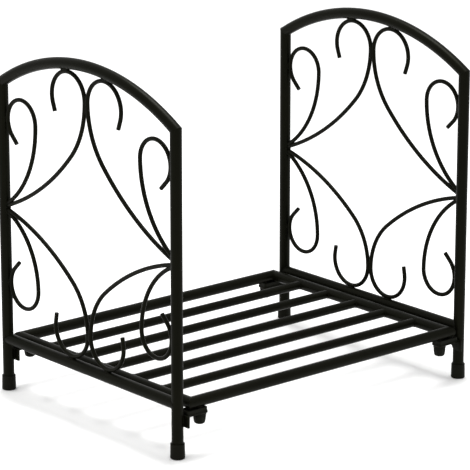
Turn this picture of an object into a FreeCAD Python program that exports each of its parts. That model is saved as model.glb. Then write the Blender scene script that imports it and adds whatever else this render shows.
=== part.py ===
import FreeCAD, Part
import math
import os

V = FreeCAD.Vector

# Firewood rack: two arched end panels with scroll work, joined by a slatted deck.
# Millimetres. X runs from the left panel to the right one, -Y is the front, +Z is up.
# The origin is the middle of the footprint, on the floor.

# Overall sizes, between the axes of the posts
post_spacing_x = 520.0
post_spacing_y = 376.0
corner_height = 446.0
arch_rise = 52.0

# Frame tube
tube_d = 16.0
tube_wall = 1.2
lower_rail_z = 75.0
deck_z = 72.0
deck_gap = 6.5

# Deck slats
slat_d = 12.7
slat_wall = 1.0
slat_count = 5
slat_pitch = 61.5

# Scroll rods
rod_d = 6.0
rod_touch_gap = 0.05
node_above_middle = 7.0
inner_hook_r = 36.0
outer_hook_r = 31.5
outer_hook_below_corner = 51.0
left_outer_hook_above_rail = 85.0
right_outer_hook_above_rail = 71.0
upper_belly_r = 118.0
upper_belly_turn = 43.0
lower_belly_r = 92.0
lower_belly_turn = 50.0
inner_node_step = 0.4
outer_node_step = 0.85
upper_inner_curl = 20.0
upper_inner_tail = 12.0
lower_inner_curl = 10.0
lower_inner_tail = 11.0
outer_curl = 46.0
outer_tail = 14.0

# Foot caps, pushed over the ends of the posts
cap_wall = 1.6
cap_flare = 0.45
cap_height = 21.0
cap_floor = 4.0
cap_rounding = 1.5

# Corner brackets, welded to the inner side of each post
bracket_thick = 3.0
tab_half_width = 9.0
tab_reach = 46.0
leg_half_width = 14.0
leg_drop = 13.0
leg_clip_width = 15.0
leg_clip_height = 12.0
leg_bite = 1.2

# Thumb screws and what they pass through
screw_reach = 38.0
stud_d = 6.0
thread_clearance = 0.05
tab_hole_d = 6.8
stud_engagement = 9.0
insert_d = 8.0
insert_length = 10.0
insert_flange_d = 11.0
insert_flange = 1.0
pad_half_width = 8.5
pad_thick = 4.0
pad_gap = 0.4
recess_clearance = 0.3
washer_d = 16.0
washer_thick = 1.2
washer_clearance = 0.05
collar_d = 18.0
collar_height = 4.0
knob_d = 17.0
knob_height = 10.5
knob_dome = 5.0
flute_count = 8
flute_r = 1.5
flute_depth = 0.55
stud_seat = 9.0

# Sizes that follow from the ones above
half_x = post_spacing_x / 2
half_y = post_spacing_y / 2
tube_r = tube_d / 2
rod_r = rod_d / 2
arch_r = (half_y ** 2 + arch_rise ** 2) / (2 * arch_rise)
arch_centre_z = corner_height + arch_rise - arch_r
arch_end_angle = math.asin(half_y / arch_r)
deck_half_x = half_x - tube_d - deck_gap
node_z = (lower_rail_z + corner_height) / 2 + node_above_middle
inner_post_y = half_y - tube_r
tab_top = deck_z - tube_r - insert_flange - pad_thick
tab_bottom = tab_top - bracket_thick
washer_bottom = tab_bottom - washer_thick
outside = 30.0

SIDES = (("left", -1), ("right", 1))
ENDS = (("front", -1), ("rear", 1))


# ---- helpers ----
def rod_between(a, b, radius):
    """Round bar from a to b."""
    return Part.makeCylinder(radius, (b - a).Length, a, b - a)


def tube_between(a, b, radius, wall):
    """Round tube from a to b, open at both ends."""
    return rod_between(a, b, radius).cut(rod_between(a, b, radius - wall))


def plane_block(corner, normal, size):
    """Large block that starts at a plane through corner and lies on the side of normal."""
    x_dir = V(1, 0, 0)
    if abs(normal.dot(x_dir)) > 0.9 * normal.Length:
        x_dir = V(0, 1, 0)
    rotation = FreeCAD.Rotation(x_dir, V(0, 0, 0), normal, "ZXY")
    box = Part.makeBox(size, size, size, V(-size / 2, -size / 2, 0))
    box.Placement = FreeCAD.Placement(corner, rotation)
    return box


def ring(outer_d, inner_d, bottom, height, x, y):
    """Flat ring with a vertical axis at x, y."""
    body = Part.makeCylinder(outer_d / 2, height, V(x, y, bottom))
    return body.cut(Part.makeCylinder(inner_d / 2, height, V(x, y, bottom)))


def post_cutter(side, end, radius):
    """Solid bar along the axis of one post, for fitting other parts against it."""
    return Part.makeCylinder(radius, corner_height + outside, V(side * half_x, end * half_y, 0))


def one_solid(shape):
    """The single solid in a cut shape, cleaned of needless seams."""
    solids = sorted(shape.Solids, key=lambda s: s.Volume)
    return solids[-1].removeSplitter()


def save(name, shape):
    shape.exportStep("parts/" + name + ".step")


# ---- end panels ----
def mitre_block(side, end, above):
    """Half space above (or below) the plane where a post meets the arch."""
    corner = V(side * half_x, end * half_y, corner_height)
    post_up = V(0, 0, 1)
    arch_out = V(0, end * math.cos(arch_end_angle), -math.sin(arch_end_angle))
    normal = post_up - arch_out
    if not above:
        normal = normal * -1
    return plane_block(corner, normal, 120.0 + 4 * tube_d)


def post(side, end):
    foot = V(side * half_x, end * half_y, cap_floor)
    top = V(side * half_x, end * half_y, corner_height + outside)
    body = tube_between(foot, top, tube_r, tube_wall)
    return one_solid(body.cut(mitre_block(side, end, True)))


def arch_tube(x, radius):
    """Bent bar that follows the arch and runs a little past both corners."""
    extra = outside / arch_r
    angle = arch_end_angle + extra
    centre = V(x, 0, arch_centre_z)
    start = centre + V(0, -arch_r * math.sin(angle), arch_r * math.cos(angle))
    middle = centre + V(0, 0, arch_r)
    finish = centre + V(0, arch_r * math.sin(angle), arch_r * math.cos(angle))
    path = Part.Wire(Part.Arc(start, middle, finish).toShape())
    tangent = V(0, math.cos(angle), math.sin(angle))
    section = Part.Wire(Part.makeCircle(radius, start, tangent))
    return path.makePipeShell([section], True, True)


def arch(side):
    x = side * half_x
    body = arch_tube(x, tube_r).cut(arch_tube(x, tube_r - tube_wall))
    for _, end in ENDS:
        body = body.cut(mitre_block(side, end, False))
    return one_solid(body)


def lower_rail(side):
    x = side * half_x
    body = tube_between(V(x, -half_y, lower_rail_z), V(x, half_y, lower_rail_z), tube_r, tube_wall)
    for _, end in ENDS:
        body = body.cut(post_cutter(side, end, tube_r))
    return one_solid(body)


# ---- scrolls, drawn for the rear half of a panel above the node and mirrored as needed ----
def on_circle(centre, radius, degrees):
    a = math.radians(degrees)
    return (centre[0] + radius * math.cos(a), centre[1] + radius * math.sin(a))


def arc_from_tangent(start, heading, end):
    """Middle point of the arc that leaves start along heading and passes through end."""
    dx = end[0] - start[0]
    dz = end[1] - start[1]
    chord = math.hypot(dx, dz)
    chord_angle = math.atan2(dz, dx)
    turn = chord_angle - heading
    turn = math.atan2(math.sin(turn), math.cos(turn))
    half_chord = chord / 2
    rise = half_chord * math.tan(turn / 2)
    mid_x = start[0] + dx / 2 + rise * math.sin(chord_angle)
    mid_z = start[1] + dz / 2 - rise * math.cos(chord_angle)
    return (mid_x, mid_z)


def node_end(step):
    """End of a rod on the axis side of the post, counted in steps above the node."""
    return (inner_post_y + rod_r, step * rod_d)


def hook_start(centre, radius, curl, tail):
    """Blunt end of a hook's straight tail, and the point where its arc begins."""
    a = math.radians(-curl)
    bend = on_circle(centre, radius, -curl)
    tip = (bend[0] + tail * math.sin(a), bend[1] - tail * math.cos(a))
    return tip, bend


def inner_scroll_path(hook_height, belly_r, belly_turn, curl, tail):
    """Tail, hook, belly and the long reach to the post. Heights count from the node."""
    centre = (inner_hook_r + rod_r + rod_touch_gap, hook_height)
    tip, bend = hook_start(centre, inner_hook_r, curl, tail)
    crown = on_circle(centre, inner_hook_r, 90)
    waist = on_circle(centre, inner_hook_r, 180)
    belly_centre = (waist[0] + belly_r, waist[1])
    belly_mid = on_circle(belly_centre, belly_r, 180 + belly_turn / 2)
    belly_end = on_circle(belly_centre, belly_r, 180 + belly_turn)
    heading = math.radians(belly_turn - 90)
    finish = node_end(inner_node_step)
    reach_mid = arc_from_tangent(belly_end, heading, finish)
    return tip, [(bend, crown, waist), (waist, belly_mid, belly_end), (belly_end, reach_mid, finish)]


def outer_scroll_path(hook_height):
    """Tail, the hook that touches the post, and one long belly back to the post."""
    centre = (inner_post_y - rod_r - rod_touch_gap - outer_hook_r, hook_height)
    tip, bend = hook_start(centre, outer_hook_r, outer_curl, outer_tail)
    crown = on_circle(centre, outer_hook_r, 90)
    waist = on_circle(centre, outer_hook_r, 180)
    finish = node_end(outer_node_step)
    belly_mid = arc_from_tangent(waist, math.radians(-90), finish)
    return tip, [(bend, crown, waist), (waist, belly_mid, finish)]


def inner_hook_height(upper):
    """Height of the inner hook's centre from the node, with the hook touching its rail."""
    across = inner_hook_r + rod_r + rod_touch_gap
    if not upper:
        return node_z - lower_rail_z - tube_r - across
    reach = arch_r - tube_r - across
    return arch_centre_z + math.sqrt(reach ** 2 - across ** 2) - node_z


def outer_hook_height(side, upper):
    """Height of the outer hook's centre from the node; the two panels were bent a little apart."""
    if upper:
        return corner_height - outer_hook_below_corner - node_z
    above_rail = left_outer_hook_above_rail if side < 0 else right_outer_hook_above_rail
    return node_z - lower_rail_z - above_rail


def scroll_path(side, upper, inner):
    if inner and upper:
        return inner_scroll_path(
            inner_hook_height(True), upper_belly_r, upper_belly_turn, upper_inner_curl, upper_inner_tail
        )
    if inner:
        return inner_scroll_path(
            inner_hook_height(False), lower_belly_r, lower_belly_turn, lower_inner_curl, lower_inner_tail
        )
    return outer_scroll_path(outer_hook_height(side, upper))


def scroll_rod(side, end, upper, inner):
    """Whole rod along its path, still running into the post."""
    up = 1 if upper else -1
    tip, arcs = scroll_path(side, upper, inner)
    place = lambda p: V(side * half_x, end * p[0], node_z + up * p[1])
    start = place(tip)
    bend = place(arcs[0][0])
    edges = [Part.makeLine(start, bend)]
    edges += [Part.Arc(place(a), place(b), place(c)).toShape() for a, b, c in arcs]
    section = Part.Wire(Part.makeCircle(rod_r, start, bend - start))
    return Part.Wire(edges).makePipeShell([section], True, True)


def scroll(side, end, upper, inner):
    """Rod fitted against its post; at the node the outer rods are ground to lie on the inner ones."""
    rod = scroll_rod(side, end, upper, inner).cut(post_cutter(side, end, tube_r))
    if not inner:
        rod = rod.cut(scroll_rod(side, end, upper, True))
    elif not upper:
        rod = rod.cut(scroll_rod(side, end, True, True))
    return one_solid(rod)


# ---- feet ----
def foot_cap(side, end):
    x = side * half_x
    y = end * half_y
    cap_r = tube_r + cap_wall
    body = Part.makeCone(cap_r + cap_flare, cap_r, cap_height, V(x, y, 0))
    rims = [e for e in body.Edges if isinstance(e.Curve, Part.Circle)]
    body = body.makeFillet(cap_rounding, rims)
    socket = Part.makeCylinder(tube_r, cap_height, V(x, y, cap_floor))
    return one_solid(body.cut(socket))


# ---- deck ----
def deck_corner_block(side, end, keep_side_rail):
    """Half space across the 45 degree mitre of the deck frame."""
    corner = V(side * deck_half_x, end * half_y, deck_z)
    normal = V(side, -end, 0)
    if not keep_side_rail:
        normal = normal * -1
    return plane_block(corner, normal, 8 * tube_d)


def deck_side_rail(end):
    reach = deck_half_x + outside
    y = end * half_y
    body = tube_between(V(-reach, y, deck_z), V(reach, y, deck_z), tube_r, tube_wall)
    for _, side in SIDES:
        normal = V(side, -end, 0)
        body = body.cut(plane_block(V(side * deck_half_x, y, deck_z), normal, 8 * tube_d))
        x = side * (half_x - screw_reach)
        body = body.cut(Part.makeCylinder(insert_d / 2, deck_z, V(x, y, 0)))
    return one_solid(body)


def deck_end_rail(side):
    reach = half_y + outside
    x = side * deck_half_x
    body = tube_between(V(x, -reach, deck_z), V(x, reach, deck_z), tube_r, tube_wall)
    for _, end in ENDS:
        normal = V(-side, end, 0)
        body = body.cut(plane_block(V(x, end * half_y, deck_z), normal, 8 * tube_d))
    return one_solid(body)


def slat(index):
    y = (index - (slat_count - 1) / 2) * slat_pitch
    a = V(-deck_half_x, y, deck_z)
    b = V(deck_half_x, y, deck_z)
    body = tube_between(a, b, slat_d / 2, slat_wall)
    for _, side in SIDES:
        x = side * deck_half_x
        rail = rod_between(V(x, -half_y, deck_z), V(x, half_y, deck_z), tube_r)
        body = body.cut(rail)
    return one_solid(body)


# ---- corner hardware ----
def bracket(side, end):
    """Bent plate: a tab under the deck rail and a leg down the post, one lower corner clipped."""
    x_post = side * half_x
    y = end * half_y
    face = x_post - side * (tube_r - leg_bite)
    inner = face - side * bracket_thick
    tip = x_post - side * tab_reach
    tab = Part.makeBox(abs(tip - face), 2 * tab_half_width, bracket_thick)
    tab.translate(V(min(tip, face), y - tab_half_width, tab_bottom))
    upright = [e for e in tab.Edges if all(abs(v.X - tip) < 0.01 for v in e.Vertexes)]
    upright = [e for e in upright if abs(e.Vertexes[0].Z - e.Vertexes[1].Z) > 1]
    tab = tab.makeFillet(tab_half_width / 3, upright)
    outline = [
        V(face, y - leg_half_width, tab_top),
        V(face, y - leg_half_width, tab_top - leg_drop - bracket_thick),
        V(face, y + leg_half_width - leg_clip_width, tab_top - leg_drop - bracket_thick),
        V(face, y + leg_half_width, tab_top - leg_drop - bracket_thick + leg_clip_height),
        V(face, y + leg_half_width, tab_top),
    ]
    leg = Part.Face(Part.makePolygon(outline + outline[:1])).extrude(V(inner - face, 0, 0))
    body = tab.fuse(leg)
    hole_x = x_post - side * screw_reach
    body = body.cut(Part.makeCylinder(tab_hole_d / 2, corner_height, V(hole_x, y, 0)))
    return one_solid(body.cut(post_cutter(side, end, tube_r)))


def screw_places():
    for side_name, side in SIDES:
        for end_name, end in ENDS:
            x = side * (half_x - screw_reach)
            yield end_name + "_" + side_name, x, end * half_y


def threaded_insert(x, y):
    """Rivet nut: a sleeve in the side rail with a thin flange under it."""
    bore = stud_d + 2 * thread_clearance
    bottom = deck_z - tube_r - insert_flange
    sleeve = ring(insert_d, bore, bottom, insert_length + insert_flange, x, y)
    flange = ring(insert_flange_d, bore, bottom, insert_flange, x, y)
    return sleeve.fuse(flange).removeSplitter()


def pad(side, y):
    """Moulded pad between the bracket's tab and the deck rail, recessed for the insert's flange."""
    near = half_x - tube_r + leg_bite - bracket_thick - pad_gap
    far = half_x - tab_reach + pad_gap
    height = pad_thick + insert_flange - washer_clearance
    body = Part.makeBox(near - far, 2 * pad_half_width, height)
    body.translate(V(side * (near + far) / 2 - (near - far) / 2, y - pad_half_width, tab_top))
    corners = [e for e in body.Edges if abs(e.Vertexes[0].Z - e.Vertexes[1].Z) > 1]
    body = body.makeFillet(bracket_thick, corners)
    x = side * (half_x - screw_reach)
    body = body.cut(Part.makeCylinder(tab_hole_d / 2, height, V(x, y, tab_top)))
    recess_r = insert_flange_d / 2 + recess_clearance
    return one_solid(body.cut(Part.makeCylinder(recess_r, height, V(x, y, tab_top + pad_thick))))


def knob(x, y):
    """Moulded head: a plain collar over a fluted grip with a domed end."""
    collar = Part.makeCylinder(collar_d / 2, collar_height, V(x, y, washer_bottom - collar_height))
    top = washer_bottom - collar_height
    grip = Part.makeCylinder(knob_d / 2, knob_height, V(x, y, top - knob_height))
    circles = [e for e in grip.Edges if isinstance(e.Curve, Part.Circle)]
    rim = [e for e in circles if e.Curve.Center.z < top - knob_height / 2]
    grip = grip.makeFillet(knob_dome, rim)
    for i in range(flute_count):
        a = 2 * math.pi * i / flute_count
        reach = knob_d / 2 + flute_r - flute_depth
        centre = V(x + reach * math.cos(a), y + reach * math.sin(a), top - knob_height)
        grip = grip.cut(Part.makeCylinder(flute_r, knob_height, centre))
    upper_rim = [e for e in collar.Edges if isinstance(e.Curve, Part.Circle)]
    body = collar.makeFillet(0.6, upper_rim).fuse(grip)
    socket = Part.makeCylinder(stud_d / 2, stud_seat, V(x, y, washer_bottom - stud_seat))
    return one_solid(body.cut(socket))


def stud(x, y):
    """Threaded stud moulded into the knob, shown plain at its outside diameter."""
    top = deck_z - tube_r + stud_engagement
    bottom = washer_bottom - stud_seat
    body = Part.makeCylinder(stud_d / 2, top - bottom, V(x, y, bottom))
    tip = [e for e in body.Edges if isinstance(e.Curve, Part.Circle) and e.Curve.Center.z > top - 0.01]
    return body.makeChamfer(0.7, tip)


# ---- build ----
os.makedirs("parts", exist_ok=True)

for side_name, side in SIDES:
    for end_name, end in ENDS:
        where = end_name + "_" + side_name
        save("post_" + where, post(side, end))
        save("foot_cap_" + where, foot_cap(side, end))
        save("corner_bracket_" + where, bracket(side, end))
        for level_name, upper in (("upper", True), ("lower", False)):
            save("scroll_" + level_name + "_inner_" + where, scroll(side, end, upper, True))
            save("scroll_" + level_name + "_outer_" + where, scroll(side, end, upper, False))
    save("arch_rail_" + side_name, arch(side))
    save("lower_rail_" + side_name, lower_rail(side))
    save("deck_end_rail_" + side_name, deck_end_rail(side))

for end_name, end in ENDS:
    save("deck_side_rail_" + end_name, deck_side_rail(end))

for index in range(slat_count):
    save("deck_slat_" + str(index + 1), slat(index))

inserts = []
pads = []
for where, x, y in screw_places():
    inserts.append(threaded_insert(x, y))
    pads.append(pad(math.copysign(1, x), y))
    washer_hole = stud_d + 2 * washer_clearance
    save("washer_" + where, ring(washer_d, washer_hole, washer_bottom, washer_thick, x, y))
    save("thumb_knob_" + where, knob(x, y))
    save("thumb_stud_" + where, stud(x, y))
save("threaded_inserts", Part.makeCompound(inserts))
save("spacers", Part.makeCompound(pads))
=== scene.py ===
import math

import bpy
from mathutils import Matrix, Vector


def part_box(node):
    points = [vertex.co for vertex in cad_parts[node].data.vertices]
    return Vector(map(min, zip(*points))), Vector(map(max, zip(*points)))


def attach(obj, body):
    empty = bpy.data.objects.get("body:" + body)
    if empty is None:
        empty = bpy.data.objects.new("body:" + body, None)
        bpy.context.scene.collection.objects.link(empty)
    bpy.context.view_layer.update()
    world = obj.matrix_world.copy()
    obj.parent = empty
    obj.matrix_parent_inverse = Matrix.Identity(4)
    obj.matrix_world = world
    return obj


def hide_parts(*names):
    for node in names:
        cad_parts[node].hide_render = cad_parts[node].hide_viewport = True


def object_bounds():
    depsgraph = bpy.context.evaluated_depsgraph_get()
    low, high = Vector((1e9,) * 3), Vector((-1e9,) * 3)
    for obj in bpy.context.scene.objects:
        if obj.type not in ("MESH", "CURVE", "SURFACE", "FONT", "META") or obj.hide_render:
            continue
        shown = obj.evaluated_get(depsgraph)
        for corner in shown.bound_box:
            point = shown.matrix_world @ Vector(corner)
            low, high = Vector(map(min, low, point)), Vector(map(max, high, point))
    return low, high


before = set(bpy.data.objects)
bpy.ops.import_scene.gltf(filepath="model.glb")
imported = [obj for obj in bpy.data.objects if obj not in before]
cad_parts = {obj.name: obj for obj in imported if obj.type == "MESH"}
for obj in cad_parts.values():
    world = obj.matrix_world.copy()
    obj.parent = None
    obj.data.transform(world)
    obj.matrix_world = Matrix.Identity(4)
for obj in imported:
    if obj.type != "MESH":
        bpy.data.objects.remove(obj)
cad_low, cad_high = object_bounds()

MM = 0.001
SIDES = (("left", -1), ("right", 1))
ENDS = (("front", -1), ("rear", 1))
PLACES = [(e_name + "_" + s_name, s, e) for s_name, s in SIDES for e_name, e in ENDS]


# ---- sizes, read from the frame ----
def middle(node):
    low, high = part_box(node)
    return (Vector(low) + Vector(high)) / 2


def extent(node):
    low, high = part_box(node)
    return Vector(high) - Vector(low)


tube_r = extent("lower_rail_left").z / 2
slat_r = extent("deck_slat_1").z / 2
rod_r = 3 * MM
inner_hook_r = 36 * MM
outer_hook_r = 31.5 * MM
post_x = middle("lower_rail_right").x
rail_z = middle("lower_rail_right").z
post_y = extent("lower_rail_right").y / 2
inner_post_y = post_y - tube_r
deck_z = middle("deck_end_rail_right").z
deck_x = middle("deck_end_rail_right").x
corner_z = 446 * MM
arch_rise = 52 * MM
arch_r = (post_y ** 2 + arch_rise ** 2) / (2 * arch_rise)
arch_centre_z = corner_z + arch_rise - arch_r
arch_slope = math.asin(post_y / arch_r)
node_z = (rail_z + corner_z) / 2 + 7 * MM
inner_hook_y = 39.05 * MM
upper_hook_z = Vector(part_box("scroll_upper_inner_front_left")[1]).z - inner_hook_r - rod_r
lower_hook_z = Vector(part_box("scroll_lower_inner_front_left")[0]).z + inner_hook_r + rod_r
screw_x = middle("thumb_stud_front_right").x


# ---- finishes ----
def linear(hex_colour):
    """sRGB hex to the linear colour the shader takes."""
    parts = [int(hex_colour[i : i + 2], 16) / 255 for i in (1, 3, 5)]
    return tuple(p / 12.92 if p <= 0.04045 else ((p + 0.055) / 1.055) ** 2.4 for p in parts) + (1.0,)


def add(tree, kind, sockets=None, **settings):
    """One node with its settings; each socket takes a value or the output that feeds it."""
    node = tree.nodes.new(kind)
    for name, value in settings.items():
        setattr(node, name, value)
    for name, value in (sockets or {}).items():
        if isinstance(value, bpy.types.NodeSocket):
            tree.links.new(value, node.inputs[name])
        else:
            node.inputs[name].default_value = value
    return node


def blank(name):
    material = bpy.data.materials.new(name)
    material.use_nodes = True
    material.node_tree.nodes.clear()
    return material, material.node_tree


def lumps(size):
    """Noise scale whose lumps are about that size, in metres, across."""
    return 0.5 / size


def powder_coat():
    """Black polyester powder sprayed on welded mild steel and baked. The eye sees a satin,
    faintly olive black with soft, narrow highlights, broken by the orange peel of the melted
    powder and a little cloudiness where the film is thicker."""
    material, tree = blank("black_powder_coat_baked_on_steel")
    place = add(tree, "ShaderNodeTexCoord").outputs["Object"]
    cloud = add(tree, "ShaderNodeTexNoise", {"Vector": place, "Scale": lumps(28 * MM), "Detail": 3.0})
    # orange peel is about 1 mm from lump to lump; drawn at 2.2 mm so that it shows
    peel = add(tree, "ShaderNodeTexNoise", {"Vector": place, "Scale": lumps(2.2 * MM), "Detail": 1.0})
    # the powder's own grain, real size 0.1 mm, drawn at 0.5 mm so that it shows
    grain = add(tree, "ShaderNodeTexNoise", {"Vector": place, "Scale": lumps(0.5 * MM), "Detail": 2.0})
    colour = add(
        tree,
        "ShaderNodeMix",
        {"Factor": cloud.outputs["Fac"], "A": linear("#050503"), "B": linear("#0e0e08")},
        data_type="RGBA",
    )
    dull = add(
        tree,
        "ShaderNodeMapRange",
        {"Value": grain.outputs["Fac"], "From Min": 0.3, "From Max": 0.7, "To Min": 0.3, "To Max": 0.4},
    )
    fine = add(tree, "ShaderNodeBump", {"Height": grain.outputs["Fac"], "Distance": 0.006 * MM})
    peeled = add(
        tree,
        "ShaderNodeBump",
        {"Height": peel.outputs["Fac"], "Distance": 0.07 * MM, "Normal": fine.outputs["Normal"]},
    )
    shader = add(
        tree,
        "ShaderNodeBsdfPrincipled",
        {
            "Base Color": colour.outputs["Result"],
            "Roughness": dull.outputs["Result"],
            "Normal": peeled.outputs["Normal"],
            "IOR": 1.5,
            "Specular IOR Level": 0.045,
            "Specular Tint": linear("#f6f9dc"),
        },
    )
    add(tree, "ShaderNodeOutputMaterial", {"Surface": shader.outputs["BSDF"]})
    return material


def cap_plastic():
    """Black low-density polyethylene, injection moulded. The eye sees a soft, slightly grey black
    with a fine spark-eroded grain and rubbed patches from the floor."""
    material, tree = blank("black_polyethylene_moulded")
    place = add(tree, "ShaderNodeTexCoord").outputs["Object"]
    rubbed = add(tree, "ShaderNodeTexNoise", {"Vector": place, "Scale": lumps(9 * MM), "Detail": 4.0})
    # spark-eroded grain is 0.15 mm; drawn at 0.6 mm so that it shows
    grain = add(tree, "ShaderNodeTexNoise", {"Vector": place, "Scale": lumps(0.6 * MM), "Detail": 3.0})
    colour = add(
        tree,
        "ShaderNodeMix",
        {"Factor": rubbed.outputs["Fac"], "A": linear("#080806"), "B": linear("#12120e")},
        data_type="RGBA",
    )
    dull = add(
        tree,
        "ShaderNodeMapRange",
        {"Value": rubbed.outputs["Fac"], "From Min": 0.3, "From Max": 0.7, "To Min": 0.46, "To Max": 0.6},
    )
    rough = add(tree, "ShaderNodeBump", {"Height": grain.outputs["Fac"], "Distance": 0.03 * MM})
    shader = add(
        tree,
        "ShaderNodeBsdfPrincipled",
        {
            "Base Color": colour.outputs["Result"],
            "Roughness": dull.outputs["Result"],
            "Normal": rough.outputs["Normal"],
            "IOR": 1.51,
            "Specular IOR Level": 0.06,
            "Specular Tint": linear("#f6f9dc"),
        },
    )
    add(tree, "ShaderNodeOutputMaterial", {"Surface": shader.outputs["BSDF"]})
    return material


def knob_plastic():
    """Black glass-filled nylon, injection moulded. The eye sees a harder, drier black than the foot
    caps, with short flow marks and a sheen on the flutes."""
    material, tree = blank("black_glass_filled_nylon_moulded")
    place = add(tree, "ShaderNodeTexCoord").outputs["Object"]
    drawn_out = add(tree, "ShaderNodeMapping", {"Vector": place, "Scale": (1.0, 1.0, 0.35)})
    flow = add(
        tree,
        "ShaderNodeTexNoise",
        {"Vector": drawn_out.outputs["Vector"], "Scale": lumps(3.5 * MM), "Detail": 3.0},
    )
    # fibre grain is 0.1 mm; drawn at 0.45 mm so that it shows
    grain = add(tree, "ShaderNodeTexNoise", {"Vector": place, "Scale": lumps(0.45 * MM), "Detail": 2.0})
    colour = add(
        tree,
        "ShaderNodeMix",
        {"Factor": flow.outputs["Fac"], "A": linear("#080806"), "B": linear("#12120e")},
        data_type="RGBA",
    )
    dull = add(
        tree,
        "ShaderNodeMapRange",
        {"Value": grain.outputs["Fac"], "From Min": 0.3, "From Max": 0.7, "To Min": 0.4, "To Max": 0.55},
    )
    streaks = add(tree, "ShaderNodeBump", {"Height": flow.outputs["Fac"], "Distance": 0.02 * MM})
    rough = add(
        tree,
        "ShaderNodeBump",
        {"Height": grain.outputs["Fac"], "Distance": 0.025 * MM, "Normal": streaks.outputs["Normal"]},
    )
    shader = add(
        tree,
        "ShaderNodeBsdfPrincipled",
        {
            "Base Color": colour.outputs["Result"],
            "Roughness": dull.outputs["Result"],
            "Normal": rough.outputs["Normal"],
            "IOR": 1.53,
            "Specular IOR Level": 0.06,
            "Specular Tint": linear("#f6f9dc"),
        },
    )
    add(tree, "ShaderNodeOutputMaterial", {"Surface": shader.outputs["BSDF"]})
    return material


def black_zinc():
    """Steel plated with zinc and blackened. The eye sees a dark metal with a brown-blue bloom and
    fine turning marks."""
    material, tree = blank("black_zinc_plated_steel_turned")
    place = add(tree, "ShaderNodeTexCoord").outputs["Object"]
    bloom = add(tree, "ShaderNodeTexNoise", {"Vector": place, "Scale": lumps(4 * MM), "Detail": 3.0})
    flattened = add(tree, "ShaderNodeMapping", {"Vector": place, "Scale": (0.15, 0.15, 1.0)})
    # turning marks are 0.1 mm apart; drawn at 0.35 mm so that they show
    turning = add(
        tree,
        "ShaderNodeTexNoise",
        {"Vector": flattened.outputs["Vector"], "Scale": lumps(0.35 * MM), "Detail": 1.0},
    )
    colour = add(
        tree,
        "ShaderNodeMix",
        {"Factor": bloom.outputs["Fac"], "A": linear("#242425"), "B": linear("#3a352f")},
        data_type="RGBA",
    )
    dull = add(
        tree,
        "ShaderNodeMapRange",
        {"Value": bloom.outputs["Fac"], "From Min": 0.3, "From Max": 0.7, "To Min": 0.3, "To Max": 0.48},
    )
    marks = add(tree, "ShaderNodeBump", {"Height": turning.outputs["Fac"], "Distance": 0.008 * MM})
    shader = add(
        tree,
        "ShaderNodeBsdfPrincipled",
        {
            "Base Color": colour.outputs["Result"],
            "Metallic": 1.0,
            "Roughness": dull.outputs["Result"],
            "Normal": marks.outputs["Normal"],
        },
    )
    add(tree, "ShaderNodeOutputMaterial", {"Surface": shader.outputs["BSDF"]})
    return material


coat = powder_coat()
polyethylene = cap_plastic()
nylon = knob_plastic()
zinc = black_zinc()
FINISHES = {"powder_coat": coat, "black_plastic": polyethylene, "dark_zinc": zinc}

for name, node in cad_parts.items():
    for material_slot in node.material_slots:
        slot_name = material_slot.material.name.split(".")[0]
        material_slot.material = FINISHES[slot_name]


# ---- hand tools ----
def begin(primitive, name, **place):
    """A primitive at its size and place, alone in the selection."""
    bpy.ops.object.select_all(action="DESELECT")
    primitive(**place)
    piece = bpy.context.active_object
    piece.name = name
    piece.data.name = name
    return piece


def pick(piece, wanted, kind="VERT"):
    """Goes into edit mode with just the wanted points, edges or faces selected."""
    bpy.ops.object.mode_set(mode="EDIT")
    bpy.ops.mesh.select_mode(type=kind)
    bpy.ops.mesh.select_all(action="DESELECT")
    bpy.ops.object.mode_set(mode="OBJECT")
    mesh = piece.data
    found = 0
    if kind == "VERT":
        for v in mesh.vertices:
            v.select = bool(wanted(v.co))
            found += v.select
    elif kind == "EDGE":
        for e in mesh.edges:
            a, b = (mesh.vertices[i].co for i in e.vertices)
            e.select = bool(wanted(a, b))
            found += e.select
    else:
        for f in mesh.polygons:
            f.select = bool(wanted(f.center, f.normal))
            found += f.select
    bpy.ops.object.mode_set(mode="EDIT")
    return found


def all_of():
    bpy.ops.object.mode_set(mode="EDIT")
    bpy.ops.mesh.select_mode(type="VERT")
    bpy.ops.mesh.select_all(action="SELECT")


def leave():
    bpy.ops.object.mode_set(mode="OBJECT")


def only(piece):
    bpy.ops.object.select_all(action="DESELECT")
    piece.select_set(True)
    bpy.context.view_layer.objects.active = piece


def apply_modifier(piece, kind, **settings):
    only(piece)
    modifier = piece.modifiers.new(kind.lower(), kind)
    for key, value in settings.items():
        setattr(modifier, key, value)
    bpy.ops.object.modifier_apply(modifier=modifier.name)


def rounded(piece, levels=1):
    apply_modifier(piece, "SUBSURF", levels=levels, render_levels=levels)


def settle(piece):
    """Puts the piece's place in its mesh, and closes and faces its surface outwards."""
    only(piece)
    bpy.ops.object.transform_apply(location=True, rotation=True, scale=True)
    all_of()
    bpy.ops.mesh.remove_doubles(threshold=0.00001)
    bpy.ops.mesh.normals_make_consistent(inside=False)
    leave()
    bpy.ops.object.shade_smooth_by_angle(angle=math.radians(38))


def dress(piece, finish, body="rack"):
    piece.data.materials.clear()
    piece.data.materials.append(finish)
    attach(piece, body)


def copy_of(piece, name, location=(0, 0, 0), rotation=(0, 0, 0), scale=(1, 1, 1)):
    twin = piece.copy()
    twin.data = piece.data.copy()
    twin.name = name
    twin.data.name = name
    bpy.context.collection.objects.link(twin)
    twin.location = location
    twin.rotation_euler = rotation
    twin.scale = scale
    settle(twin)
    return twin


def discard(*pieces):
    for piece in pieces:
        bpy.data.objects.remove(piece, do_unlink=True)


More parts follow.
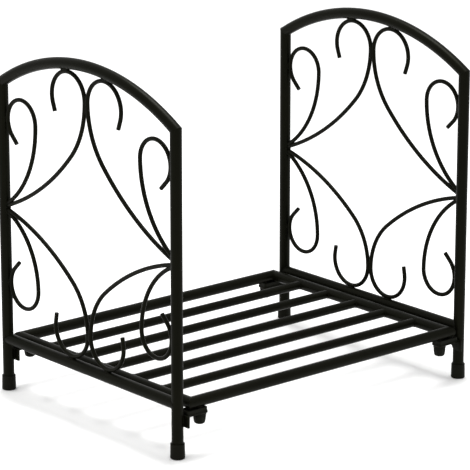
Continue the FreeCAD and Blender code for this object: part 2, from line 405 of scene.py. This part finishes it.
# ---- welds, all under the powder coat ----
def weld_bead(name, length, width, height):
    """A short straight run of weld along Z: full ends, with a ripple for each stop of the torch."""
    rings = 12
    bead = begin(
        bpy.ops.mesh.primitive_uv_sphere_add, name, segments=12, ring_count=rings, radius=length / 2
    )
    half = length / 2
    for k in range(1, rings):
        z = half * math.cos(math.pi * k / rings)
        now = half * math.sin(math.pi * k / rings)
        full = (1 - (abs(z) / half) ** 3) ** 0.5
        ripple = 1 + 0.07 * (-1) ** k
        pick(bead, lambda co: abs(co.z - z) < half / 500)
        bpy.ops.transform.resize(
            value=(width / 2 * full * ripple / now, height / 2 * full * ripple / now, 1),
            center_override=(0, 0, z),
        )
    leave()
    rounded(bead)
    return bead


def weld_ring(name, ring_r, bead_r, lean, stretch=1.0, steps=40):
    """Weld round a joint, as a ring about Z. lean(x, y) says how far each stop of the torch rides
    along Z to follow the other tube. stretch widens the ring along Y."""
    ring = begin(
        bpy.ops.mesh.primitive_torus_add,
        name,
        major_segments=steps,
        minor_segments=8,
        major_radius=ring_r,
        minor_radius=bead_r,
    )
    for k in range(steps):
        turn = 2 * math.pi * k / steps
        x, y = ring_r * math.cos(turn), ring_r * math.sin(turn)
        near = math.pi / steps
        pick(
            ring,
            lambda co: abs(math.remainder(math.atan2(co.y, co.x) - turn, 2 * math.pi)) < near / 2,
        )
        size = 1 + 0.1 * (-1) ** k + 0.05 * math.sin(3.3 * k)
        bpy.ops.transform.resize(value=(size, size, size), center_override=(x, y, 0))
        bpy.ops.transform.translate(value=(0, 0, lean(x, y)))
    leave()
    ring.scale = (1, stretch, 1)
    settle(ring)
    rounded(ring)
    return ring


quarter = math.pi / 2

# slats coped on the deck end rails
slat_ring = weld_ring(
    "slat_weld",
    slat_r + 0.15 * MM,
    0.85 * MM,
    lambda x, y: math.sqrt(max(tube_r ** 2 - x ** 2, 0)),
)
for index in range(1, 6):
    for side_name, side in SIDES:
        y = middle("deck_slat_%d" % index).y
        bead = copy_of(
            slat_ring,
            "slat_weld_%d_%s" % (index, side_name),
            location=(side * deck_x, y, deck_z),
            rotation=(0, -side * quarter, 0),
        )
        dress(bead, coat)
discard(slat_ring)

# panel rails coped on the posts
rail_ring = weld_ring(
    "rail_weld",
    tube_r + 0.1 * MM,
    0.8 * MM,
    lambda x, y: math.sqrt(max(tube_r ** 2 - x ** 2, 0)),
    steps=48,
)
for place, side, end in PLACES:
    bead = copy_of(
        rail_ring,
        "rail_weld_" + place,
        location=(side * post_x, end * post_y, rail_z),
        rotation=(end * quarter, 0, 0),
    )
    dress(bead, coat)
discard(rail_ring)

# mitred corners, ground nearly flush
arch_mitre = (quarter - arch_slope) / 2
ground_r, ground_bead = tube_r - 0.12 * MM, 0.42 * MM
arch_ring = weld_ring(
    "arch_weld", ground_r, ground_bead, lambda x, y: 0, stretch=1 / math.cos(arch_mitre), steps=56
)
deck_ring = weld_ring("deck_weld", ground_r, ground_bead, lambda x, y: 0, stretch=math.sqrt(2), steps=56)
for place, side, end in PLACES:
    bead = copy_of(
        arch_ring,
        "arch_weld_" + place,
        location=(side * post_x, end * post_y, corner_z),
        rotation=(end * arch_mitre, 0, 0),
    )
    dress(bead, coat)
    bead = copy_of(
        deck_ring,
        "deck_corner_weld_" + place,
        location=(side * deck_x, end * post_y, deck_z),
        rotation=(0, quarter, -side * end * quarter / 2),
    )
    dress(bead, coat)
discard(arch_ring, deck_ring)

# four rods gathered on each post
gather_ring = weld_ring(
    "gather_weld",
    3.8 * MM,
    1.1 * MM,
    lambda x, y: math.sqrt(tube_r ** 2 - x ** 2) - tube_r,
    stretch=2.25,
    steps=36,
)
for place, side, end in PLACES:
    bead = copy_of(
        gather_ring,
        "gather_weld_" + place,
        location=(side * post_x, end * inner_post_y, node_z),
        rotation=(end * quarter, 0, 0),
    )
    dress(bead, coat)
discard(gather_ring)

# hook crowns against the arch and the lower rail, a bead on each face of the rod
arch_bead = weld_bead("crown_weld", 17 * MM, 2.6 * MM, 2.4 * MM)
rail_bead = weld_bead("sole_weld", 12 * MM, 2.8 * MM, 2.6 * MM)
post_bead = weld_bead("cheek_weld", 9 * MM, 2.6 * MM, 2.4 * MM)
lean = math.atan2(inner_hook_y, upper_hook_z - arch_centre_z)
crown_reach = arch_r - tube_r
for place, side, end in PLACES:
    for face_name, face in (("outer", 1), ("inner", -1)):
        x = side * post_x + side * face * (rod_r - 0.5 * MM)
        crown = copy_of(
            arch_bead,
            "crown_weld_%s_%s" % (face_name, place),
            location=(
                x,
                end * crown_reach * math.sin(lean),
                arch_centre_z + crown_reach * math.cos(lean) - 0.3 * MM,
            ),
            rotation=(quarter - end * lean, 0, 0),
        )
        dress(crown, coat)
        sole = copy_of(
            rail_bead,
            "sole_weld_%s_%s" % (face_name, place),
            location=(x, end * inner_hook_y, rail_z + tube_r + 0.2 * MM),
            rotation=(quarter, 0, 0),
        )
        dress(sole, coat)
        upper_touch = Vector(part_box("scroll_upper_outer_" + place)[1]).z - outer_hook_r - rod_r
        lower_touch = Vector(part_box("scroll_lower_outer_" + place)[0]).z + outer_hook_r + rod_r
        for level_name, z in (("upper", upper_touch), ("lower", lower_touch)):
            cheek = copy_of(
                post_bead,
                "cheek_weld_%s_%s_%s" % (level_name, face_name, place),
                location=(x, end * (inner_post_y - 0.1 * MM), z),
            )
            dress(cheek, coat)
discard(arch_bead, rail_bead, post_bead)

# the two inner hooks of a pair, joined down their waist
upper_seam = weld_bead("upper_waist_weld", 26 * MM, 3.0 * MM, 3.4 * MM)
lower_seam = weld_bead("lower_waist_weld", 15 * MM, 3.0 * MM, 3.4 * MM)
for side_name, side in SIDES:
    for face_name, face in (("outer", 1), ("inner", -1)):
        x = side * post_x + side * face * (rod_r - 1.1 * MM)
        seam = copy_of(
            upper_seam,
            "waist_weld_upper_%s_%s" % (face_name, side_name),
            location=(x, 0, upper_hook_z - 3 * MM),
        )
        dress(seam, coat)
        seam = copy_of(
            lower_seam,
            "waist_weld_lower_%s_%s" % (face_name, side_name),
            location=(x, 0, lower_hook_z + 2 * MM),
        )
        dress(seam, coat)
discard(upper_seam, lower_seam)


# ---- foot caps ----
def turned(name, profile, steps=64):
    """A profile of (radius, height) points, drawn from one corner of a plane, spun about Z."""
    piece = begin(bpy.ops.mesh.primitive_plane_add, name, size=2 * MM)
    first = profile[0]
    pick(piece, lambda co: not (co.x > 0 and co.y > 0))
    bpy.ops.mesh.delete(type="VERT")
    leave()
    pick(piece, lambda co: True)
    start = piece.data.vertices[0].co.copy()
    bpy.ops.transform.translate(value=(first[0] - start.x, -start.y, first[1] - start.z))
    for before, after in zip(profile, profile[1:]):
        step = (after[0] - before[0], 0, after[1] - before[1])
        bpy.ops.mesh.extrude_vertices_move(TRANSFORM_OT_translate={"value": step})
    bpy.ops.mesh.select_all(action="SELECT")
    bpy.ops.mesh.spin(steps=steps, angle=2 * math.pi, center=(0, 0, 0), axis=(0, 0, 1))
    bpy.ops.mesh.select_all(action="SELECT")
    bpy.ops.mesh.remove_doubles(threshold=0.000005)
    leave()
    return piece


def rounding(centre, radius, start, stop, steps):
    """Points of a rounded corner, from start to stop in degrees."""
    angles = [math.radians(start + (stop - start) * k / steps) for k in range(steps + 1)]
    return [(centre[0] + radius * math.cos(a), centre[1] + radius * math.sin(a)) for a in angles]


cap_size = extent("foot_cap_front_left")
cap_low = Vector(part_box("foot_cap_front_left")[0]).z
cap_foot_r = cap_size.x / 2
cap_top = cap_size.z
cap_lip_r = cap_foot_r - 0.4 * MM
cap_profile = [(0.0, 0.7 * MM), (5.2 * MM, 0.7 * MM), (5.7 * MM, 0.0), (cap_foot_r - 1.6 * MM, 0.0)]
cap_profile += rounding((cap_foot_r - 1.5 * MM, 1.5 * MM), 1.5 * MM, -80, 0, 5)
cap_profile += [(cap_foot_r - 0.05 * MM, 4 * MM), (cap_lip_r + 0.12 * MM, cap_top - 4.2 * MM)]
cap_profile += [(cap_lip_r - 0.18 * MM, cap_top - 3.9 * MM), (cap_lip_r - 0.18 * MM, cap_top - 3.4 * MM)]
cap_profile += [(cap_lip_r + 0.1 * MM, cap_top - 3.1 * MM)]
cap_profile += rounding((cap_lip_r - 0.55 * MM, cap_top - 0.65 * MM), 0.65 * MM, 0, 110, 5)
cap_profile += [(tube_r + 0.06 * MM, cap_top - 0.7 * MM), (tube_r + 0.06 * MM, cap_top - 3 * MM)]
cap_profile += [(0.0, cap_top - 3 * MM)]
cap = turned("foot_cap", cap_profile)
for place, side, end in PLACES:
    foot = copy_of(cap, "moulded_foot_cap_" + place, location=(side * post_x, end * post_y, cap_low))
    dress(foot, polyethylene)
    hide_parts("foot_cap_" + place)
discard(cap)


# ---- corner brackets ----
bracket_low, bracket_high = (Vector(c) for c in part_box("corner_bracket_front_right"))
plate = 3 * MM
leg_x = bracket_high.x - plate / 2
leg_half = 14 * MM
tab_half = 9 * MM
leg_y = bracket_low.y + leg_half
leg_height = bracket_high.z - bracket_low.z
clip_width, clip_height = 15 * MM, 12 * MM


def corner_bracket():
    """Steel plate cut to a tee and bent: a leg down the post and a tab under the deck."""
    piece = begin(
        bpy.ops.mesh.primitive_cube_add,
        "bracket",
        size=1,
        scale=(plate, 2 * leg_half, leg_height),
        location=(leg_x, leg_y, (bracket_low.z + bracket_high.z) / 2),
    )
    bpy.ops.object.transform_apply(location=True, rotation=True, scale=True)
    all_of()
    # the clipped lower corner
    bpy.ops.mesh.bisect(
        plane_co=(leg_x, leg_y + leg_half, bracket_low.z + clip_height),
        plane_no=(0, clip_height, -clip_width),
        use_fill=True,
        clear_outer=True,
    )
    # cut lines where the tab leaves the leg
    for point, normal in (
        ((leg_x, leg_y - tab_half, 0), (0, 1, 0)),
        ((leg_x, leg_y + tab_half, 0), (0, 1, 0)),
        ((leg_x, leg_y, bracket_high.z - plate), (0, 0, 1)),
    ):
        bpy.ops.mesh.select_all(action="SELECT")
        bpy.ops.mesh.bisect(plane_co=point, plane_no=normal)
    leave()
    inner_x = leg_x - plate / 2
    pick(
        piece,
        lambda c, n: n.x < -0.9 and abs(c.y - leg_y) < tab_half and c.z > bracket_high.z - plate,
        "FACE",
    )
    bpy.ops.mesh.extrude_region_move(
        TRANSFORM_OT_translate={"value": (bracket_low.x - inner_x, 0, 0)}
    )
    leave()
    # round the tab's two corners, then the bend, then every edge a little
    tip = bracket_low.x + 0.01 * MM
    pick(piece, lambda a, b: a.x < tip and b.x < tip and abs(a.z - b.z) > plate / 2, "EDGE")
    bpy.ops.mesh.bevel(offset=3 * MM, segments=5, affect="EDGES")
    leave()
    bend_z = bracket_high.z - plate

    def at_bend(a, b):
        level = abs(a.z - bend_z) < 0.01 * MM and abs(b.z - bend_z) < 0.01 * MM
        inboard = abs(a.x - inner_x) < 0.01 * MM and abs(b.x - inner_x) < 0.01 * MM
        return level and inboard and abs((a.y + b.y) / 2 - leg_y) < tab_half

    pick(piece, at_bend, "EDGE")
    bpy.ops.mesh.bevel(offset=1.6 * MM, segments=4, affect="EDGES")
    leave()
    apply_modifier(
        piece, "BEVEL", width=0.35 * MM, segments=2, limit_method="ANGLE", angle_limit=math.radians(50)
    )
    drill = begin(
        bpy.ops.mesh.primitive_cylinder_add,
        "drill",
        vertices=48,
        radius=3.4 * MM,
        depth=10 * MM,
        location=(screw_x, leg_y, bracket_high.z - plate / 2),
    )
    only(piece)
    hole = piece.modifiers.new("hole", "BOOLEAN")
    hole.object = drill
    hole.operation = "DIFFERENCE"
    hole.solver = "EXACT"
    bpy.ops.object.modifier_apply(modifier=hole.name)
    discard(drill)
    return piece


bracket = corner_bracket()
leg_bead = weld_bead("leg_weld", leg_height - 2 * MM, 2.6 * MM, 2.6 * MM)
for place, side, end in PLACES:
    plate_piece = copy_of(
        bracket,
        "bent_bracket_" + place,
        location=(0, end * post_y - leg_y, 0),
        scale=(side, 1, 1),
    )
    dress(plate_piece, coat)
    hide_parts("corner_bracket_" + place)
    for face_name, face in (("front", -1), ("rear", 1)):
        seam = copy_of(
            leg_bead,
            "leg_weld_%s_of_%s" % (face_name, place),
            location=(
                side * (bracket_high.x + 0.3 * MM),
                end * post_y + face * 5.0 * MM,
                (bracket_low.z + bracket_high.z) / 2,
            ),
        )
        dress(seam, coat)
discard(bracket, leg_bead)


# ---- thumb screws ----
knob_low, knob_high = (Vector(c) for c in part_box("thumb_knob_front_right"))
knob_x, knob_y = (knob_low.x + knob_high.x) / 2, (knob_low.y + knob_high.y) / 2
collar_r = (knob_high.x - knob_low.x) / 2
collar_z = knob_high.z - 4 * MM
stud_low, stud_high = (Vector(c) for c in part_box("thumb_stud_front_right"))
stud_r = (stud_high.x - stud_low.x) / 2
pitch = 1 * MM
flutes = 8


def fluted_knob():
    """Grip of the thumb screw about Z: collar, waisted neck, tapered fluted grip, dished end."""
    grip_r = 8.75 * MM
    neck = collar_z - knob_low.z + 1.8 * MM
    profile = [(0.0, 0.9 * MM), (2.4 * MM, 0.7 * MM), (2.8 * MM, 0.1 * MM), (3.6 * MM, 0.0)]
    profile += rounding((3.9 * MM, 3.9 * MM), 3.9 * MM, -75, -12, 6)
    profile += [(8.15 * MM, neck * 0.44), (8.5 * MM, neck * 0.62), (grip_r, neck * 0.84)]
    profile += [(grip_r - 0.1 * MM, neck - 0.8 * MM), (grip_r - 0.5 * MM, neck - 0.25 * MM)]
    profile += [(grip_r - 0.8 * MM, neck), (collar_r - 0.6 * MM, neck + 0.1 * MM)]
    profile += rounding((collar_r - 0.5 * MM, neck + 0.6 * MM), 0.5 * MM, -80, 0, 3)
    profile += rounding((collar_r - 0.5 * MM, neck + 1.7 * MM), 0.5 * MM, 0, 90, 3)
    profile += [(4.2 * MM, neck + 2.2 * MM), (3.9 * MM, neck + 1.6 * MM), (0.0, neck + 1.6 * MM)]
    knob = turned("knob", profile, steps=flutes * 12)
    for reach, depth in ((0.055, 0.06), (0.16, 0.044), (0.28, 0.016)):

        def in_flute(co):
            flat = math.hypot(co.x, co.y)
            if not 0.9 * MM < co.z < neck - 0.1 * MM or flat < 4.4 * MM:
                return False
            share = math.remainder(math.atan2(co.y, co.x) * flutes / (2 * math.pi), 1)
            return reach - 0.12 < abs(share) <= reach + 0.02 or (reach < 0.1 and abs(share) < 0.06)

        if pick(knob, in_flute):
            bpy.ops.transform.resize(value=(1 - depth, 1 - depth, 1), center_override=(0, 0, 0))
        leave()
    return knob


def threaded_stud():
    """Coarse M6 thread about Z, one pitch of its profile carried up by the Screw modifier."""
    length = stud_high.z - stud_low.z
    root = stud_r - 0.61 * pitch
    stud = begin(bpy.ops.mesh.primitive_plane_add, "stud", size=2 * MM)
    pick(stud, lambda co: not (co.x > 0 and co.y > 0))
    bpy.ops.mesh.delete(type="VERT")
    leave()
    pick(stud, lambda co: True)
    start = stud.data.vertices[0].co.copy()
    bpy.ops.transform.translate(value=(root - start.x, -start.y, -2 * pitch))
    flank, flat = 0.375 * pitch, 0.125 * pitch
    steps = [(stud_r - root, flank), (0, flat), (root - stud_r, flank), (0, flat)]
    for out, up in steps:
        bpy.ops.mesh.extrude_vertices_move(TRANSFORM_OT_translate={"value": (out, 0, up)})
    leave()
    apply_modifier(
        stud,
        "SCREW",
        angle=2 * math.pi,
        screw_offset=pitch,
        iterations=int(length / pitch) + 4,
        steps=28,
        render_steps=28,
        use_merge_vertices=True,
        merge_threshold=0.00001,
    )
    all_of()
    bpy.ops.mesh.remove_doubles(threshold=0.00001)
    # sawn off a hair inside its length, so that no cut runs through the thread's own points
    hair = 0.017 * pitch
    top, bottom = (0, 0, length - hair), (0, 0, hair)
    for point, normal in ((top, (0, 0, 1)), (bottom, (0, 0, -1))):
        bpy.ops.mesh.select_all(action="SELECT")
        bpy.ops.mesh.bisect(
            plane_co=point, plane_no=normal, use_fill=True, clear_outer=True, threshold=1e-7
        )
    leave()
    # lead-in at the top, where the stud enters its insert
    pick(stud, lambda co: co.z > length - 0.25 * pitch)
    bpy.ops.transform.resize(value=(0.84, 0.84, 1), center_override=(0, 0, length))
    leave()
    return stud


knob = fluted_knob()
stud = threaded_stud()
for place, side, end in PLACES:
    body = "thumb_screw_" + place
    grip = copy_of(knob, "fluted_knob_" + place, location=(side * knob_x, end * abs(knob_y), knob_low.z))
    dress(grip, nylon, body)
    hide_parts("thumb_knob_" + place)
    thread = copy_of(
        stud, "threaded_stud_" + place, location=(side * screw_x, end * post_y, stud_low.z)
    )
    dress(thread, zinc, body)
    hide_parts("thumb_stud_" + place)
discard(knob, stud)


# ---- studio ----
def pale_floor():
    """Seamless paper: matt, faintly fibrous, nearly white."""
    material, tree = blank("seamless_white_paper")
    place = add(tree, "ShaderNodeTexCoord").outputs["Object"]
    fibre = add(tree, "ShaderNodeTexNoise", {"Vector": place, "Scale": lumps(3 * MM), "Detail": 4.0})
    colour = add(
        tree,
        "ShaderNodeMix",
        {"Factor": fibre.outputs["Fac"], "A": linear("#fafafa"), "B": linear("#fdfdfc")},
        data_type="RGBA",
    )
    shader = add(
        tree,
        "ShaderNodeBsdfPrincipled",
        {"Base Color": colour.outputs["Result"], "Roughness": 0.9, "Specular IOR Level": 0.1},
    )
    add(tree, "ShaderNodeOutputMaterial", {"Surface": shader.outputs["BSDF"]})
    floor = begin(
        bpy.ops.mesh.primitive_plane_add,
        "studio_floor",
        size=30,
        location=(0, 0, cad_low.z - 0.2 * MM),
    )
    floor.data.materials.append(material)


def soft_box(name, location, size, power):
    data = bpy.data.lights.new(name, "AREA")
    data.shape = "RECTANGLE"
    data.size, data.size_y = size
    data.energy = power
    lamp = bpy.data.objects.new(name, data)
    bpy.context.collection.objects.link(lamp)
    lamp.location = location
    aim = Vector((0, 0, 0.2)) - Vector(location)
    lamp.rotation_euler = aim.to_track_quat("-Z", "Y").to_euler()


def studio():
    pale_floor()
    world = bpy.data.worlds.new("soft_room")
    world.use_nodes = True
    world.node_tree.nodes.clear()
    room = add(world.node_tree, "ShaderNodeBackground", {"Color": linear("#ffffff"), "Strength": 1.0})
    add(world.node_tree, "ShaderNodeOutputWorld", {"Surface": room.outputs["Background"]})
    bpy.context.scene.world = world
    soft_box("overhead_box", (0.3, 0.4, 2.6), (1.1, 1.1), 50)
    soft_box("side_box", (-3.2, -0.6, 1.5), (0.8, 2.0), 14)


def camera():
    data = bpy.data.cameras.new("studio_camera")
    data.sensor_width = 36
    data.lens = 223.2
    data.clip_start, data.clip_end = 0.05, 60
    eye = bpy.data.objects.new("studio_camera", data)
    bpy.context.collection.objects.link(eye)
    azimuth, elevation = math.radians(-40.5), math.radians(15.72)
    level = math.cos(elevation)
    back = Vector((math.sin(azimuth) * level, -math.cos(azimuth) * level, math.sin(elevation)))
    eye.location = (-2.5603, -2.9981, 1.3284)
    eye.rotation_euler = (-back).to_track_quat("-Z", "Y").to_euler()
    bpy.context.scene.camera = eye


studio()
camera()
bpy.context.scene.view_settings.view_transform = "Standard"
